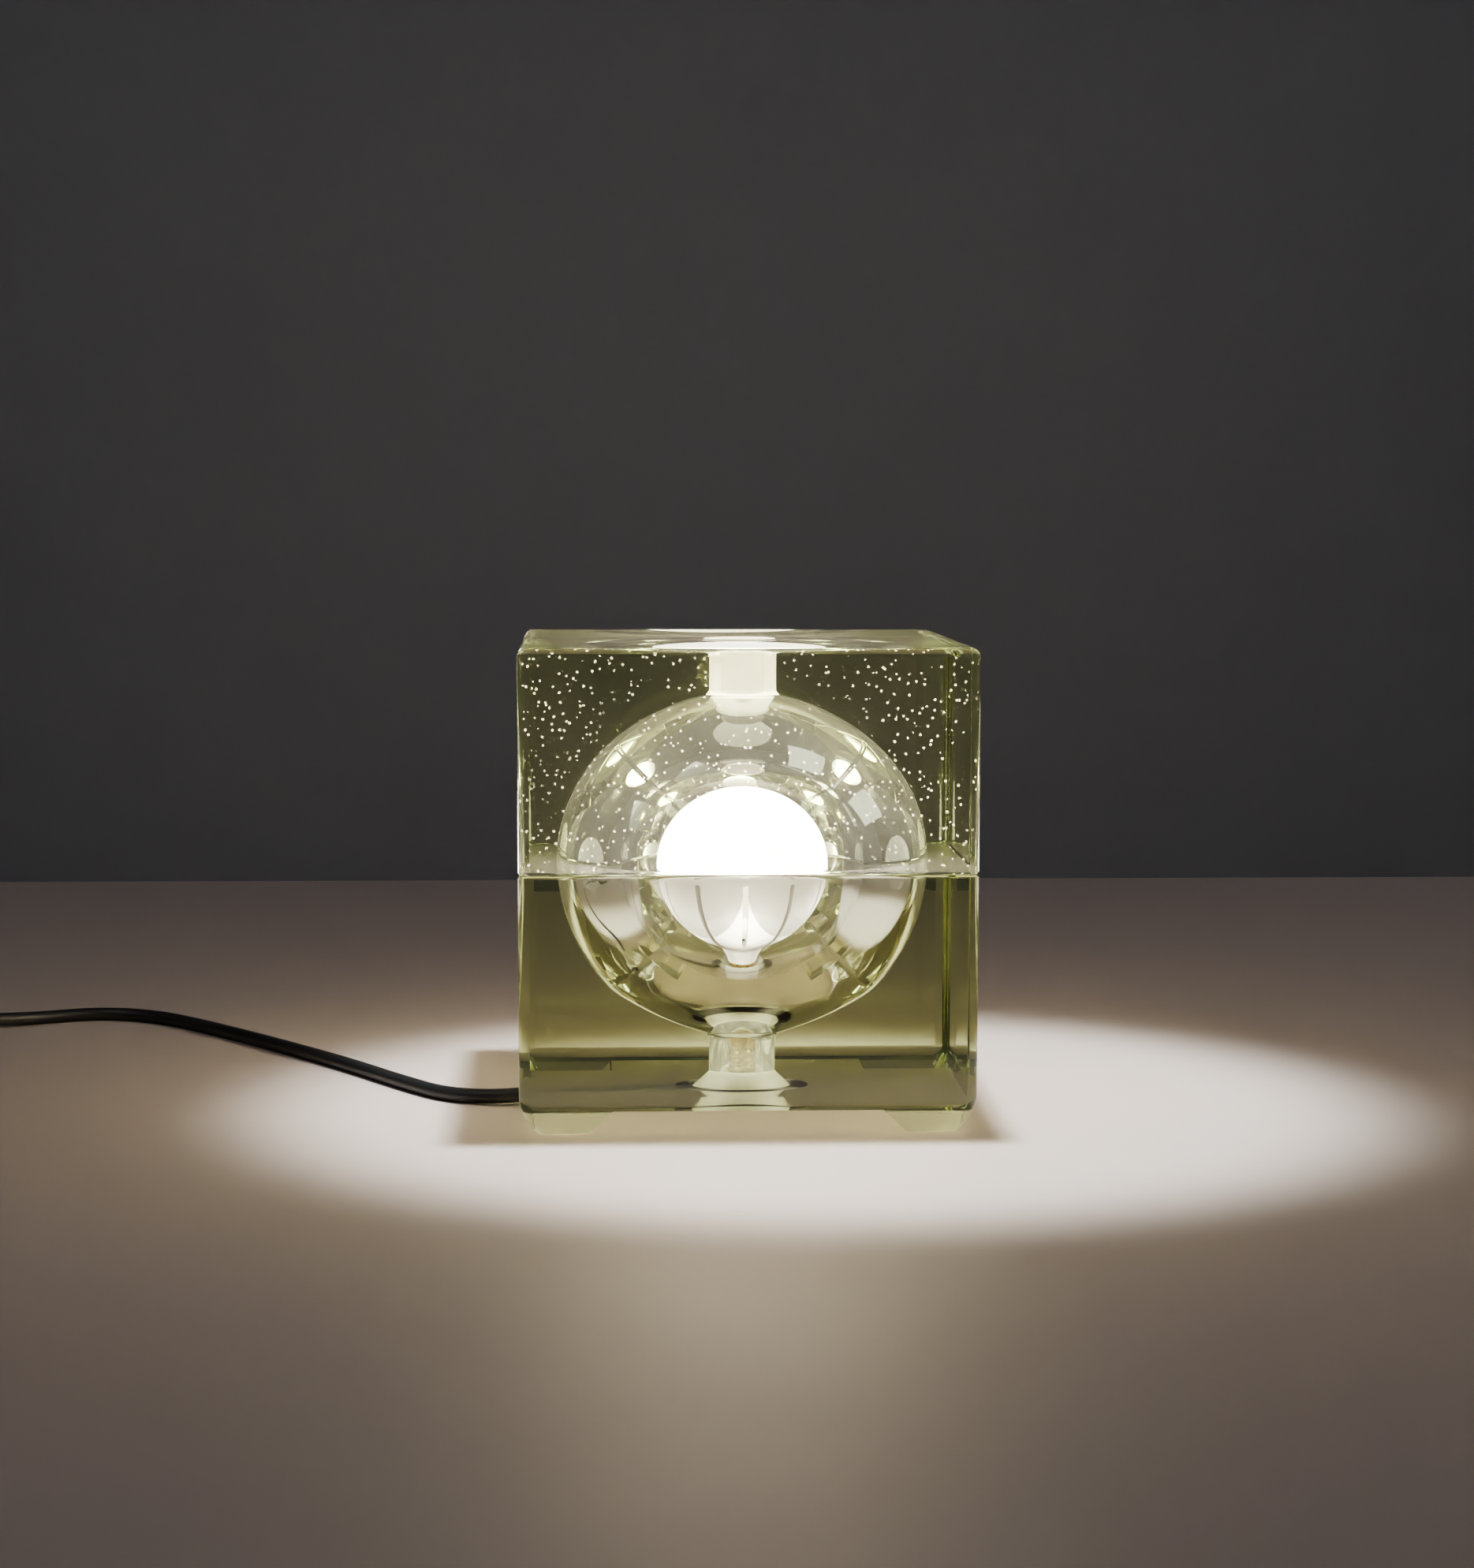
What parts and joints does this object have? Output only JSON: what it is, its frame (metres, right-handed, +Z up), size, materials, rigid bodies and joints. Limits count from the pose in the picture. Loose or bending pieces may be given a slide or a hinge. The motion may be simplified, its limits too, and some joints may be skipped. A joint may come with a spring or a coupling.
{
  "type": "table lamp",
  "caption": "Cube table lamp of two thick pressed-glass halves round a hollow dome, with a screw-in LED globe bulb, lampholder, feet and a black mains cord with switch and flat plug.",
  "frame": {"origin": "on the table, under the middle of the glass cube", "axes": "+Z up through the bores of the glass, -Y towards the viewer, the cord leaves towards -X"},
  "size_m": [0.5101, 0.282, 0.17],
  "materials": {
    "cast_glass": "pressed soda glass with a faint green tint, polished outside, ground on the joint faces",
    "socket_white": "white heat-proof moulding",
    "brass": "rolled brass, slightly dulled",
    "contact_metal": "sprung bronze strip",
    "plated_steel": "zinc plated screws and pin",
    "cable_black": "smooth black PVC sheath",
    "relief_black": "soft black moulding",
    "core_brown": "brown core insulation",
    "core_blue": "blue core insulation",
    "bulb_opal": "opal diffuser, lit",
    "bulb_white": "white moulded housing",
    "nickel": "nickel plated screw cap",
    "black_insulator": "black cap insulator",
    "solder": "solder button",
    "aluminium": "pressed aluminium",
    "led_phosphor": "yellow phosphor",
    "board": "printed circuit board",
    "component_dark": "small electrical parts",
    "switch_black": "black moulded switch",
    "plug_black": "black moulded plug",
    "pin_nickel": "nickel plated pins",
    "sleeve_black": "insulating sleeve",
    "tie_black": "woven hook-and-loop tie"
  },
  "bodies": {
    "lamp_base": {"lower_glass_block": "cast_glass", "lampholder_base": "socket_white", "screw_shell": "brass", "centre_contact": "contact_metal", "shell_contact": "contact_metal", "terminal_blocks": "brass", "terminal_screws": "plated_steel", "bottom_cap": "socket_white", "cap_screws": "plated_steel", "strain_relief": "relief_black", "live_core": "core_brown", "neutral_core": "core_blue", "switch_bottom": "switch_black", "switch_top": "switch_black", "rocker_pin": "plated_steel", "switch_contacts": "brass", "switch_screws": "plated_steel", "cord_lead": "cable_black", "cord_link": "cable_black", "cord_coil": "cable_black", "coil_tie": "tie_black", "cord_tail": "cable_black", "plug_tail": "plug_black", "plug_body": "plug_black", "plug_pins": "pin_nickel", "pin_sleeves": "sleeve_black"},
    "upper_glass": {"upper_glass_block": "cast_glass"},
    "bulb_carrier": {"contact_tip": "solder"},
    "bulb": {"cap_insulator": "black_insulator", "bulb_cap": "nickel", "bulb_collar": "bulb_white", "bulb_globe": "bulb_opal", "led_board": "aluminium", "led_chips": "led_phosphor", "heat_spreader": "bulb_white", "driver_board": "board", "driver_capacitor": "component_dark", "driver_coil": "component_dark", "bulb_leads": "contact_metal"},
    "rocker": {"switch_rocker": "switch_black"}
  },
  "joints": [
    {"name": "upper_lift", "type": "slide", "parent": "lamp_base", "child": "upper_glass", "axis": [0, 0, 1], "range_m": [0, 0.08]},
    {"name": "bulb_rise", "type": "slide", "parent": "lamp_base", "child": "bulb_carrier", "axis": [0, 0, 1], "range_m": [0, 0.00857]},
    {"name": "bulb_turn", "type": "hinge", "parent": "bulb_carrier", "child": "bulb", "pos_m": [0, 0, 0.03], "axis": [0, 0, 1], "range_deg": [0, 1080]},
    {"name": "rocker_tilt", "type": "hinge", "parent": "lamp_base", "child": "rocker", "pos_m": [-0.36278, 0.11909, 0.0113], "axis": [0.5635, -0.8261, 0], "range_deg": [-12, 0]}
  ],
  "couplings": [
    {"joint": "bulb_rise", "follows": "bulb_turn", "m_per_rad": 0.00044913}
  ]
}
